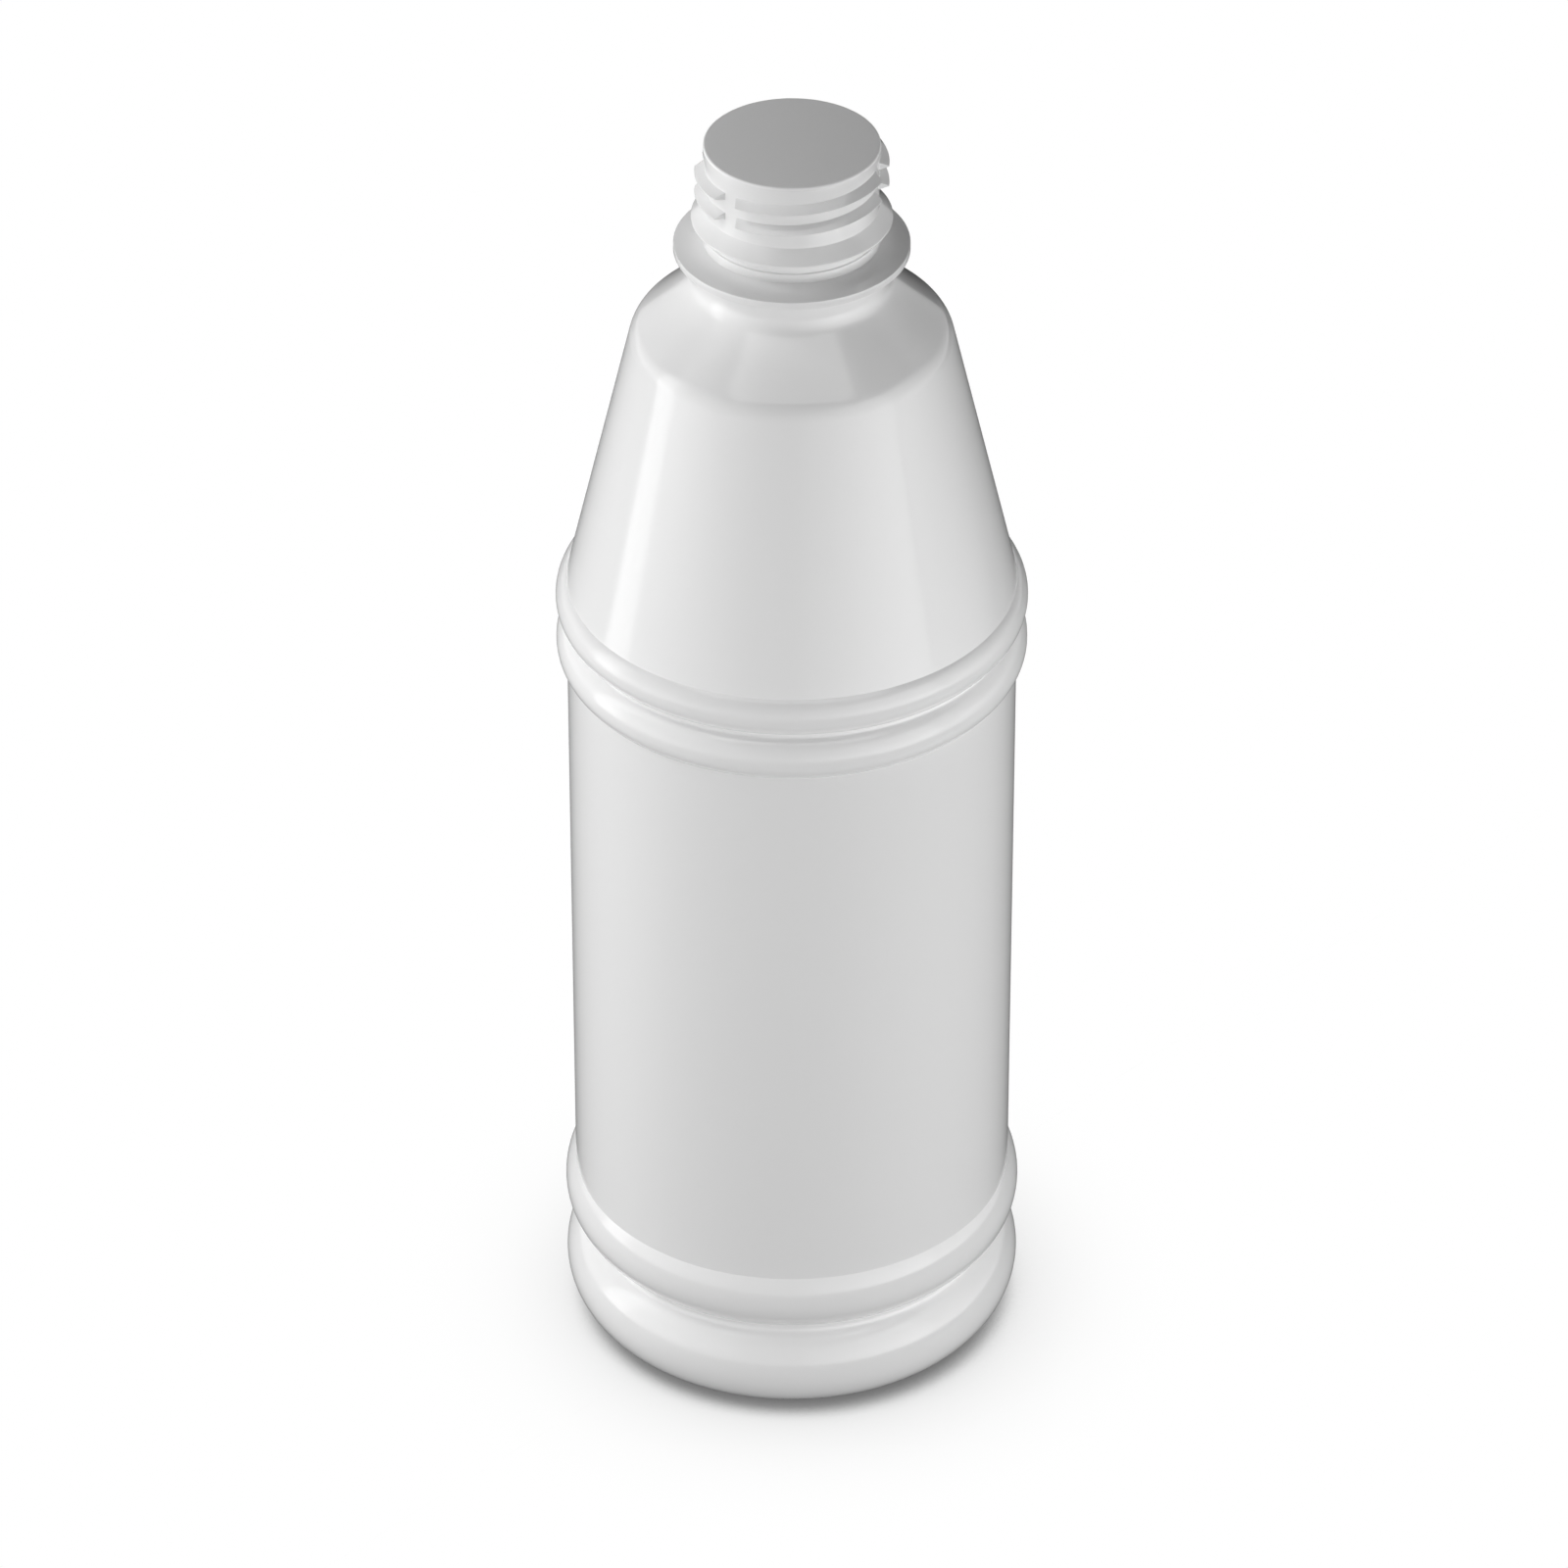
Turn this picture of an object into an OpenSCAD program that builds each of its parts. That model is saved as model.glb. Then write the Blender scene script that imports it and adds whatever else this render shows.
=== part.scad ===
// Round half-litre bottle with a 28 mm screw neck, and the thin membrane that seals its mouth.
// Millimetres. The base stands on z = 0 and the axis is +Z.

/* [Body] */
// Diameter of the plain label panel
panel_d = 64.4; // [56:0.1:76]
// Height of the label panel between the beads that frame it
panel_h = 89.2; // [60:0.1:130]
// How far the beads and the foot stand proud of the panel
bead_proud = 1.5; // [0.8:0.05:2]
// Thickness of the blown wall
wall = 0.8; // [0.5:0.05:1.2]

/* [Foot] */
// Radius of the rounded heel
heel_r = 7.6; // [6:0.1:9]
// Radius of the upper side of the foot band
foot_top_r = 7.1; // [5:0.1:8]
// Diameter at which the flat standing ring ends inside
stand_d = 46; // [38:0.5:48]
// Radius of the rounded inner side of the standing ring
stand_r = 2.5; // [1.5:0.1:4]
// Height of the hollow under the base
push_up = 4; // [3:0.1:6]

/* [Base bead] */
// Section radius of the bead above the foot
base_bead_r = 6.6; // [5:0.1:7.5]
// Height from the middle of the foot to the middle of this bead
base_bead_rise = 13.5; // [12.5:0.1:15]
// Radius at the bottom of the groove under this bead
base_groove_r = 1; // [0.4:0.1:1.5]

/* [Shoulder beads] */
// Section radius of the lower one of the two beads
lower_bead_r = 3.8; // [3:0.1:4.5]
// Section radius of the upper one of the two beads
upper_bead_r = 3.5; // [3:0.1:4.5]
// Height from the middle of the lower bead to the middle of the upper one
bead_pitch = 7.3; // [6.5:0.1:8.5]
// Radius at the bottom of the groove between the two beads
bead_groove_r = 0.5; // [0.3:0.1:1]

/* [Cone and shoulder] */
// How far inside the crest of the upper bead the cone's line passes, at the middle of that bead
cone_inset = 0.9; // [0.5:0.05:1.8]
// Diameter where the lines of the cone and of the shoulder would meet
cone_top_d = 45; // [38:0.1:52]
// Height of the cone from the middle of the upper bead to that meeting point
cone_h = 44.2; // [30:0.1:60]
// Slope of the shoulder, from the level
shoulder_angle = 40.9; // [25:0.1:50]
// Radius of the rounded edge between the shoulder and the cone
shoulder_edge_r = 4.9; // [2:0.1:6]
// Radius of the hollow fillet between the neck and the shoulder
neck_fillet_r = 3.2; // [1:0.1:4]

/* [Neck] */
// Diameter of the neck under the support ring
neck_d = 26.6; // [25:0.1:29]
// Height of the neck, from where its line meets the shoulder's line to the support ring
neck_h = 5; // [3:0.1:12]
// Diameter of the support ring
ring_d = 33; // [30:0.1:36]
// Thickness of the support ring at its edge
ring_t = 1.1; // [0.8:0.05:2]
// How much higher the upper face of the ring is at the tube than at its edge
ring_rise = 0.65; // [0:0.05:1]
// Height from the underside of the support ring to the face of the lip
finish_h = 16.55; // [15.5:0.05:21]
// Diameter of the bore
bore_d = 21.6; // [19:0.05:22.6]

/* [Tube, bead and lip] */
// Outer diameter of the tube, which is the root of the thread
tube_d = 24.3; // [24:0.05:25]
// Diameter of the thicker foot of the tube
tube_foot_d = 24.8; // [24.4:0.05:26]
// Height of the thicker foot of the tube above the underside of the support ring
tube_foot_h = 3.1; // [2.6:0.05:3.6]
// Diameter of the tamper-evident bead
band_bead_d = 28.1; // [26:0.1:29]
// Height of the edge of that bead above the underside of the support ring
band_bead_h = 5.4; // [4.6:0.1:6]
// Height of the cone above the edge of that bead
band_cone_h = 1.8; // [1:0.1:2.4]
// Height of the upright edge of that bead
band_edge_h = 0.25; // [0.1:0.05:0.5]
// Height of the sloping underside of that bead
band_under_h = 0.5; // [0.2:0.05:0.8]
// Diameter of the lip
lip_d = 24.6; // [24.4:0.05:25.4]
// Height of the lip
lip_h = 1.15; // [0.8:0.05:1.4]
// Radius of the rounded edge of the lip
lip_edge_r = 0.1; // [0.05:0.05:0.5]

/* [Thread] */
// Diameter over the crest of the thread
thread_d = 27; // [26:0.05:28]
// Rise of the thread in one turn
thread_pitch = 3.15; // [2.7:0.05:3.4]
// Depth under the lip's face of the crest, at the front of the bottle
thread_front_depth = 3.45; // [3.2:0.05:4]
// Angle past the front at which the thread starts, near the lip
thread_start = 165; // [160:5:200]
// Length of the thread, as an angle
thread_sweep = 660; // [540:5:720]
// Angle over which the thread grows to full height at each end
thread_lead = 20; // [10:1:25]
// Height of the sloping upper side of the thread
thread_flank_h = 0.85; // [0.5:0.05:1]
// Width of the flat crest of the thread
thread_crest_w = 0.15; // [0.1:0.05:0.4]
// Height of the sloping underside of the thread
thread_under_h = 0.15; // [0.05:0.05:0.3]
// Angle of the first gap, from the front
gap_angle = -44; // [-60:1:-30]
// Angle from one gap to the next in a pair of gaps
gap_pair = 60; // [40:1:80]
// Half of the angle of a gap inside the tube's wall, under the root of the thread
gap_root_half = 2.9; // [2:0.1:5]
// Half of the angle of a gap at the crest of the thread
gap_crest_half = 8.4; // [7:0.1:12]

/* [Mouth seal] */
// Thickness of the membrane
seal_t = 0.35; // [0.2:0.05:0.6]
// Radius of the rounded upper edge of the membrane
seal_edge_r = 0.33; // [0.05:0.05:0.4]

/* [Hidden] */
$fn = 96;
// Facets of the wide, shallow dome under the base
dome_facets = 360;
// Height by which the bore's cut runs on past the lip
bore_over = 1;
bottle_white = [0.93, 0.93, 0.93];
seal_white = [0.9, 0.9, 0.9];

panel_r = panel_d / 2;
proud_r = panel_r + bead_proud;
neck_r = neck_d / 2;
tube_r = tube_d / 2;
lip_r = lip_d / 2;
bore_r = bore_d / 2;

// A round stretch of the section is [distance from the axis, height, radius]
function bead_on(z, r) = [proud_r - r, z, r];
// Height of the half chord that a bead's circle has on the panel's line
function half_chord(r) = sqrt(2 * r * bead_proud - bead_proud * bead_proud);

heel = bead_on(heel_r, heel_r);
foot_top = bead_on(heel_r, foot_top_r);
base_bead = bead_on(heel_r + base_bead_rise, base_bead_r);
panel_z0 = base_bead[1] + half_chord(base_bead_r);
panel_z1 = panel_z0 + panel_h;
lower_bead = bead_on(panel_z1 + half_chord(lower_bead_r), lower_bead_r);
upper_bead = bead_on(lower_bead[1] + bead_pitch, upper_bead_r);

// Outward directions of the shoulder and of the cone, as [away from the axis, up]
cone_base = [proud_r - cone_inset, upper_bead[1]];
cone_top = [cone_top_d / 2, upper_bead[1] + cone_h];
cone_slope = atan((cone_base[0] - cone_top[0]) / cone_h);
cone_out = [cos(cone_slope), sin(cone_slope)];
shoulder_out = [sin(shoulder_angle), cos(shoulder_angle)];

// Middle of the shoulder's rounded edge, which touches both lines
edge_det = shoulder_out[0] * cone_out[1] - shoulder_out[1] * cone_out[0];
edge_mid = cone_top + shoulder_edge_r / edge_det
         * [shoulder_out[1] - cone_out[1], cone_out[0] - shoulder_out[0]];
// Middle of the hollow fillet at the neck, outside the wall
fillet_mid_r = neck_r + neck_fillet_r;
fillet_mid = [fillet_mid_r,
              cone_top[1] + (neck_fillet_r - (fillet_mid_r - cone_top[0]) * shoulder_out[0])
              / shoulder_out[1]];
neck_corner_z = cone_top[1] + (cone_top[0] - neck_r) * tan(shoulder_angle);
ring_z = neck_corner_z + neck_h;
lip_z = ring_z + finish_h;

// Middle of the rounded inner side of the standing ring, and the dome that touches it
stand_mid = [stand_d / 2, stand_r];
dome_r = (pow(stand_d / 2, 2) + pow(stand_r - push_up, 2) - pow(stand_r, 2)) / (2 * push_up);
dome_z = push_up - dome_r;

// Middle of a small circle that touches two beads from outside, on the side away from the axis
function groove_mid(a, b, r) =
    let (ra = a[2] + r, rb = b[2] + r,
         d = norm([b[0] - a[0], b[1] - a[1]]),
         along = [b[0] - a[0], b[1] - a[1]] / d,
         t = (d * d + ra * ra - rb * rb) / (2 * d),
         side = sqrt(ra * ra - t * t))
    [a[0], a[1]] + t * along + side * [along[1], -along[0]];

module round_at(b, inset) {
    translate([b[0], b[1]]) circle(r = b[2] - inset);
}

// The groove's circle is this much larger than one that only touches the beads
groove_bite = 0.01;

// Fills the space between two beads down to the rounded bottom of their groove
module groove(a, b, r, inset) {
    mid = groove_mid(a, b, r);
    difference() {
        polygon([[a[0], a[1]], mid, [b[0], b[1]]]);
        translate(mid) circle(r = r + inset + groove_bite);
    }
}

// Half section of the bottle's body up to the neck, set back everywhere by inset.
// The points in top close it above the neck.
module body_section(inset, top) {
    difference() {
        union() {
            polygon(concat(
                [[0, dome_z], stand_mid, [stand_mid[0], inset], [heel[0], inset],
                 [heel[0], heel[1]], [foot_top[0], foot_top[1]], [base_bead[0], base_bead[1]],
                 [panel_r - inset, base_bead[1]], [panel_r - inset, lower_bead[1]],
                 [lower_bead[0], lower_bead[1]], [upper_bead[0], upper_bead[1]],
                 cone_base - inset * cone_out,
                 edge_mid + (shoulder_edge_r - inset) * cone_out,
                 edge_mid + (shoulder_edge_r - inset) * shoulder_out,
                 fillet_mid - (neck_fillet_r + inset) * shoulder_out,
                 fillet_mid,
                 [neck_r - inset, fillet_mid[1]]],
                top));
            translate(edge_mid) circle(r = shoulder_edge_r - inset);
            translate(stand_mid) circle(r = stand_r - inset);
            intersection() {
                round_at(heel, inset);
                translate([heel[0], 0]) square([heel_r, heel_r]);
            }
            intersection() {
                round_at(foot_top, inset);
                translate([foot_top[0], heel_r]) square([foot_top_r, foot_top_r]);
            }
            round_at(base_bead, inset);
            round_at(lower_bead, inset);
            round_at(upper_bead, inset);
            groove(foot_top, base_bead, base_groove_r, inset);
            groove(lower_bead, upper_bead, bead_groove_r, inset);
        }
        translate([0, dome_z]) circle(r = dome_r + inset, $fn = dome_facets);
        translate(fillet_mid) circle(r = neck_fillet_r + inset);
    }
}

// Half section of the support ring, the tamper-evident bead, the tube and the lip
module finish_section() {
    band_z = ring_z + band_bead_h;
    polygon([
        [0, ring_z],
        [ring_d / 2, ring_z],
        [ring_d / 2, ring_z + ring_t],
        [tube_foot_d / 2, ring_z + ring_t + ring_rise],
        [tube_foot_d / 2, ring_z + tube_foot_h],
        [tube_r, ring_z + tube_foot_h],
        [tube_r, band_z - band_edge_h - band_under_h],
        [band_bead_d / 2, band_z - band_edge_h],
        [band_bead_d / 2, band_z],
        [tube_r, band_z + band_cone_h],
        [tube_r, lip_z - lip_h],
        [lip_r, lip_z - lip_h],
        [lip_r, lip_z - lip_edge_r],
        [lip_r - lip_edge_r, lip_z],
        [0, lip_z]]);
    translate([lip_r - lip_edge_r, lip_z - lip_edge_r]) circle(r = lip_edge_r);
}

// Height of the lower edge of the thread's crest at an angle from the front
function crest_z(a) = lip_z - thread_front_depth + thread_pitch * a / 360;
thread_end = thread_start - thread_sweep;
// Share of its full height that the thread has at an angle
function growth(a) = min(1, (thread_start - a) / thread_lead, (a - thread_end) / thread_lead);
// Depth to which the thread is rooted in the tube, and to which its crest sinks at its ends
thread_root = 0.6;
thread_sunk = 0.3;
thread_high = thread_d / 2 - tube_r;
// Angle from one section of the thread to the next
thread_step = 5;
// Half turns over which the pairs of gaps are repeated, from the first to the last
gap_turns = [-4:3];

// Corners of the thread's section: [is it on the crest, height over the crest's lower edge,
// rise of its flank for each mm towards the axis]
thread_shape = [
    [false, thread_crest_w, thread_flank_h / thread_high],
    [true, thread_crest_w, 0],
    [true, 0, 0],
    [false, 0, -thread_under_h / thread_high]];

// A corner of the section at an angle. The flanks run on into the tube at their own slope.
function thread_corner(c, a) =
    let (crest = thread_high * growth(a) - thread_sunk * (1 - growth(a)),
         r = tube_r + (c[0] ? crest : -thread_root))
    [r * sin(a), -r * cos(a), crest_z(a) + c[1] + c[2] * (crest + thread_root)];

// One run of the thread from angle a0 to a1. A plain end is no gap's side.
module thread_run(a0, a1, plain0, plain1) {
    steps = ceil((a1 - a0) / thread_step);
    n = len(thread_shape);
    rows = [for (i = [0:steps]) [for (c = thread_shape)
        let (back = c[0] ? gap_crest_half : gap_root_half,
             b0 = a0 + (plain0 ? 0 : back),
             b1 = a1 - (plain1 ? 0 : back))
        thread_corner(c, b0 + (b1 - b0) * i / steps)]];
    polyhedron(
        points = [for (row = rows) each row],
        faces = concat(
            [[for (k = [0:n - 1]) k]],
            [[for (k = [n - 1:-1:0]) steps * n + k]],
            [for (i = [0:steps - 1]) for (k = [0:n - 1])
                let (a = i * n + k, b = i * n + (k + 1) % n)
                each [[a, a + n, b], [b, a + n, b + n]]]),
        convexity = 4);
}

// The thread, cut into runs by its gaps
module thread() {
    turns = [for (k = gap_turns) each [gap_angle - gap_pair + 180 * k, gap_angle + 180 * k]];
    ends = concat([thread_end],
                  [for (g = turns) if (g > thread_end + thread_lead && g < thread_start - thread_lead) g],
                  [thread_start]);
    for (i = [0:len(ends) - 2])
        thread_run(ends[i], ends[i + 1], i == 0, i == len(ends) - 2);
}

module bottle() {
    color(bottle_white) {
        difference() {
            rotate_extrude() {
                body_section(0, [[neck_r, ring_z], [0, ring_z]]);
                finish_section();
            }
            rotate_extrude()
                body_section(wall, [[bore_r, ring_z], [bore_r, lip_z + bore_over], [0, lip_z + bore_over]]);
        }
        thread();
    }
}

// Least height of the upright rim of the membrane, under its rounded edge
seal_rim_h = 0.02;

// A flat disc as wide as the lip, bonded on its face, with its upper edge rounded
module mouth_seal() {
    round_r = min(seal_edge_r, seal_t - seal_rim_h);
    color(seal_white)
    translate([0, 0, lip_z]) rotate_extrude() {
        square([lip_r - round_r, seal_t]);
        square([lip_r, seal_t - round_r]);
        translate([lip_r - round_r, seal_t - round_r]) intersection() {
            circle(r = round_r);
            square([round_r, round_r]);
        }
    }
}

bottle();
mouth_seal();
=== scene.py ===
"""Dresses a round half-litre screw-neck bottle and the membrane that seals its mouth."""

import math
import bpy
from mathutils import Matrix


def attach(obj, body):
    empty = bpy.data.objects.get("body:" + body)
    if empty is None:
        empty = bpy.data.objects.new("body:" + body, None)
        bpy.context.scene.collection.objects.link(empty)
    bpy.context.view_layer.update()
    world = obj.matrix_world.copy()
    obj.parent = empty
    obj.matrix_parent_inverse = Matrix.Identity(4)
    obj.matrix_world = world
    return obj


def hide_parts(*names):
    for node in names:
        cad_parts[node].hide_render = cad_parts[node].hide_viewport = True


bl_info = {
    "name": "Screw neck bottle",
    "version": (1, 0, 0),
    "blender": (4, 5, 0),
    "location": "View3D > Sidebar > Bottle",
    "description": "Models a blown bottle with a vented screw neck, its mouth seal and a plain studio",
    "category": "Object",
}

import bmesh
import bpy
from mathutils import Matrix, Vector

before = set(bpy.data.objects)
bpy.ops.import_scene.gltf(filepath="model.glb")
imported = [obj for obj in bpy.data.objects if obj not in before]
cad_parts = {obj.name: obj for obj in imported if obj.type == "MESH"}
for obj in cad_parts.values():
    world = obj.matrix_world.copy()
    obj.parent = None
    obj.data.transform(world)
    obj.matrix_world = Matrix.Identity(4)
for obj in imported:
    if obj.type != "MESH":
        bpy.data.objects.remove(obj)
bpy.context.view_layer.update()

MM = 0.001
# Profiles are drawn in millimetres in the XZ plane and turned about Z
Z_AXIS = (0.0, 0.0, 1.0)
WELD = 1e-5
# Angles from one point of a round stretch to the next: outside, inside the wall, and at the lip
OUTER_STEP = math.radians(5)
INNER_STEP = math.radians(12)
LIP_STEP = math.radians(15)
# Segments of the rounded edges of the neck and the thread, and of the membrane
EDGE_SEGMENTS = 3
MEMBRANE_SEGMENTS = 6
# Height over which the tube's thicker foot narrows to the tube, in millimetres
FOOT_TAPER = 0.1
# Half turns from the front at which the pairs of vents are placed, where the thread runs there
VENT_TURNS = range(-4, 4)
# Slow unevenness of the blown plastic and fine grain of the membrane, per metre, and how far they go
BLOWN_SCALE = 22.0
BLOWN_TONE = 0.005
BLOWN_GLOSS = 0.015
GRAIN_SCALE = 900.0
GRAIN_GLOSS = 0.04
PLASTIC_IOR = 1.5
# The stage, in metres
FLOOR_HALF = 4.0
FLOOR_ROUGH = 0.9
SHADOW_SAMPLES = 16
CARD_SIDES = 48
CARD_LIFT = 0.001
SENSOR_MM = 36.0
CLIP = (0.05, 20.0)
# How white the floor is for each share of open sky over it: the shadow is dark and short at the foot
SHADOW_FALL = (
    (0.0, 0.15), (0.19, 0.19), (0.29, 0.27), (0.42, 0.57), (0.53, 0.81), (0.62, 0.88), (0.74, 0.94),
    (0.82, 0.976), (0.9, 0.992), (1.0, 1.0),
)

# Where the upright lamps stand: azimuth in degrees and distance in metres of the outer and the inner edge
LEFT = ((-98, 0.45), (-25, 0.54))
RIGHT = ((69, 0.45), (5, 0.59))
FRONT = ((-24, 0.54), (4, 0.59))
BACK_LEFT = ((-99, 0.45), (-125, 0.45))
BACK_RIGHT = ((70, 0.45), (100, 0.45))
REAR_LEFT = ((-126, 0.45), (-179, 0.45))
REAR_RIGHT = ((101, 0.45), (179, 0.45))
GLOSS_LEFT = ((-98, 0.42), (-25, 0.50))
GLOSS_LEFT_EDGE = ((-98, 0.41), (-82, 0.41))
GLOSS_RIGHT = ((69, 0.42), (5, 0.55))
GLOSS_BACK_RIGHT = ((70, 0.42), (130, 0.42))
# The lamps that give the light: place, bottom and top in metres, level at the outer edge, inner share
FILL_LAMPS = (
    ("fill_left", LEFT, (0.0, 0.16), 5.0, 0.3),
    ("fill_left_middle", LEFT, (0.16, 0.43), 0.8, 0.3),
    ("fill_left_high", LEFT, (0.43, 0.86), 3.7, 0.3),
    ("fill_left_top", LEFT, (0.86, 1.5), 1.0, 0.3),
    ("fill_right", RIGHT, (0.0, 0.16), 5.4, 0.3),
    ("fill_right_middle", RIGHT, (0.16, 0.43), 0.4, 0.3),
    ("fill_back_left", BACK_LEFT, (0.0, 0.43), 3.0, 1.0),
    ("fill_back_right", BACK_RIGHT, (0.0, 0.20), 3.6, 1.0),
    ("fill_rear_left", REAR_LEFT, (0.0, 0.20), 0.2, 1.0),
    ("fill_rear_right", REAR_RIGHT, (0.0, 0.20), 0.4, 1.0),
    ("fill_front", FRONT, (0.0, 0.16), 1.2, 1.0),
)
# The lamps that show in the gloss and light nothing else, in the same order
GLOSS_LAMPS = (
    ("gloss_left", GLOSS_LEFT, (0.0, 0.40), 0.9, 0.2),
    ("gloss_left_edge", GLOSS_LEFT_EDGE, (0.0, 0.40), 1.6, 1.0),
    ("gloss_left_high", GLOSS_LEFT, (0.40, 0.80), 1.0, 0.2),
    ("gloss_right", GLOSS_RIGHT, (0.0, 0.40), 2.4, 0.2),
    ("gloss_right_high", GLOSS_RIGHT, (0.40, 0.80), 0.4, 0.2),
    ("gloss_back_right", GLOSS_BACK_RIGHT, (0.0, 0.40), 1.7, 0.0),
)


def millimetres(name, default, description):
    """A length in millimetres that the panel shows as a plain number."""
    return bpy.props.FloatProperty(
        name=name, default=default, description=description, min=0.0, max=500.0, precision=3
    )


def angle(name, degrees, description):
    """An angle that is written in degrees and kept in radians."""
    return bpy.props.FloatProperty(
        name=name, default=math.radians(degrees), description=description, subtype="ANGLE", unit="ROTATION"
    )


def shade(name, value, description):
    """A colour without alpha."""
    return bpy.props.FloatVectorProperty(
        name=name, default=value, description=description, subtype="COLOR", size=3, min=0.0, max=1.0
    )


def number(name, default, description, low=0.0, high=1e6):
    """A plain number that isn't negative."""
    return bpy.props.FloatProperty(name=name, default=default, description=description, min=low, max=high)


class BottleBodySizes(bpy.types.PropertyGroup):
    """Sizes of the blown body, in millimetres."""

    panel_r: millimetres("Panel radius", 32.2, "Radius of the plain label panel")
    panel_h: millimetres("Panel height", 89.2, "Height of the label panel")
    proud: millimetres("Bead height", 1.5, "How far the beads and the foot stand proud of the panel")
    wall: millimetres("Wall", 0.8, "Thickness of the blown wall")
    heel_r: millimetres("Heel radius", 7.6, "Radius of the rounded heel")
    foot_top_r: millimetres("Foot top radius", 7.1, "Radius of the upper side of the foot")
    stand_ring_r: millimetres("Standing ring", 23.0, "Radius at which the flat standing ring ends inside")
    stand_edge_r: millimetres("Standing ring edge", 2.5, "Rounding of the inner side of the standing ring")
    push_up: millimetres("Push-up", 4.0, "Height of the hollow under the base")
    base_bead_r: millimetres("Base bead radius", 6.6, "Section radius of the bead above the foot")
    base_bead_rise: millimetres("Base bead rise", 13.5, "Height of the base bead over the foot's middle")
    base_groove_r: millimetres("Base groove", 1.0, "Rounding at the bottom of the groove over the foot")
    lower_bead_r: millimetres("Lower bead radius", 3.8, "Section radius of the lower shoulder bead")
    upper_bead_r: millimetres("Upper bead radius", 3.5, "Section radius of the upper shoulder bead")
    bead_pitch: millimetres("Bead pitch", 7.3, "Height from the lower to the upper shoulder bead")
    bead_groove_r: millimetres("Bead groove", 0.5, "Rounding at the bottom of the groove between these beads")
    cone_inset: millimetres("Cone inset", 0.9, "How far inside the upper bead's crest the cone starts")
    cone_top_r: millimetres("Cone top radius", 22.5, "Radius where the cone's and the shoulder's lines meet")
    cone_h: millimetres("Cone height", 44.2, "Height of the cone from the middle of the upper bead")
    shoulder_slope: angle("Shoulder slope", 40.9, "Slope of the shoulder from the level")
    shoulder_edge_r: millimetres("Shoulder edge", 4.9, "Radius of the rounded edge of the shoulder")
    fillet_r: millimetres("Neck fillet", 3.2, "Radius of the hollow fillet between shoulder and neck")
    turns: bpy.props.IntProperty(
        name="Steps round", default=256, description="Faces round the bottle", min=24, max=512
    )


class BottleNeckSizes(bpy.types.PropertyGroup):
    """Sizes of the neck finish over the shoulder, in millimetres."""

    neck_r: millimetres("Neck radius", 13.3, "Radius of the neck under the support ring")
    neck_h: millimetres("Neck height", 5.0, "Height of the neck under the support ring")
    ring_r: millimetres("Ring radius", 16.5, "Radius of the support ring")
    ring_t: millimetres("Ring edge", 1.1, "Thickness of the support ring at its edge")
    ring_rise: millimetres("Ring rise", 0.65, "How much the top of the ring rises to the tube")
    finish_h: millimetres("Finish height", 16.55, "Height from the underside of the ring to the lip")
    bore_r: millimetres("Bore radius", 10.8, "Radius of the bore")
    tube_r: millimetres("Tube radius", 12.15, "Radius of the tube, the root of the thread")
    foot_r: millimetres("Tube foot radius", 12.4, "Radius of the thicker foot of the tube")
    foot_h: millimetres("Tube foot height", 3.1, "Height of the thicker foot over the ring's underside")
    bead_r: millimetres("Band bead radius", 14.05, "Radius of the bead that holds a tear-off band")
    bead_h: millimetres("Band bead height", 5.4, "Height of that bead's edge over the ring's underside")
    bead_cone: millimetres("Band bead cone", 1.8, "Height of the cone over that bead's edge")
    bead_edge: millimetres("Band bead edge", 0.25, "Height of that bead's upright edge")
    bead_under: millimetres("Band bead underside", 0.5, "Height of that bead's sloping underside")
    lip_r: millimetres("Lip radius", 12.3, "Radius of the lip")
    lip_h: millimetres("Lip height", 1.15, "Height of the lip")
    lip_edge_r: millimetres("Lip edge", 0.1, "Rounding of the lip's edge")
    crisp_edge: millimetres("Edge rounding", 0.1, "Rounding of the moulded finish's crisp edges")
    seal_t: millimetres("Membrane", 0.35, "Thickness of the membrane on the lip")
    seal_edge_r: millimetres("Membrane edge", 0.33, "Rounding of the membrane's upper edge")


class BottleThreadSizes(bpy.types.PropertyGroup):
    """Sizes of the vented right-hand thread, in millimetres and angles from the front."""

    crest_r: millimetres("Crest radius", 13.5, "Radius over the thread's crest")
    pitch: millimetres("Pitch", 3.15, "Rise of the thread in one turn")
    front_depth: millimetres("Front depth", 3.45, "Depth of the crest's lower edge under the lip, in front")
    flank_h: millimetres("Upper flank", 0.85, "Height of the sloping upper flank")
    crest_w: millimetres("Crest width", 0.15, "Width of the crest")
    under_h: millimetres("Lower flank", 0.15, "Height of the steep lower flank")
    rooted: millimetres("Rooting", 0.6, "Depth to which the thread reaches into the tube")
    sunk: millimetres("Sunk ends", 0.3, "Depth to which the crest sinks at the thread's ends")
    start: angle("Start", 165.0, "Angle past the front at which the thread starts")
    sweep: angle("Sweep", 660.0, "Length of the thread as an angle")
    lead: angle("Lead", 20.0, "Angle over which the thread grows to full height")
    gap: angle("Gap", -44.0, "Angle of the first gap from the front")
    gap_pair: angle("Gap pair", 60.0, "Angle from one gap to the next in a pair")
    gap_root: angle("Gap at the root", 2.9, "Half the gap's angle inside the tube's wall")
    gap_crest: angle("Gap at the crest", 8.4, "Half the gap's angle at the crest")
    step: angle("Step", 2.0, "Angle from one section of the thread to the next")
    edge: millimetres("Edge rounding", 0.06, "Rounding of the thread's edges")
    round_over: angle("Rounded edges", 25.0, "Edges sharper than this are rounded")


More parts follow.
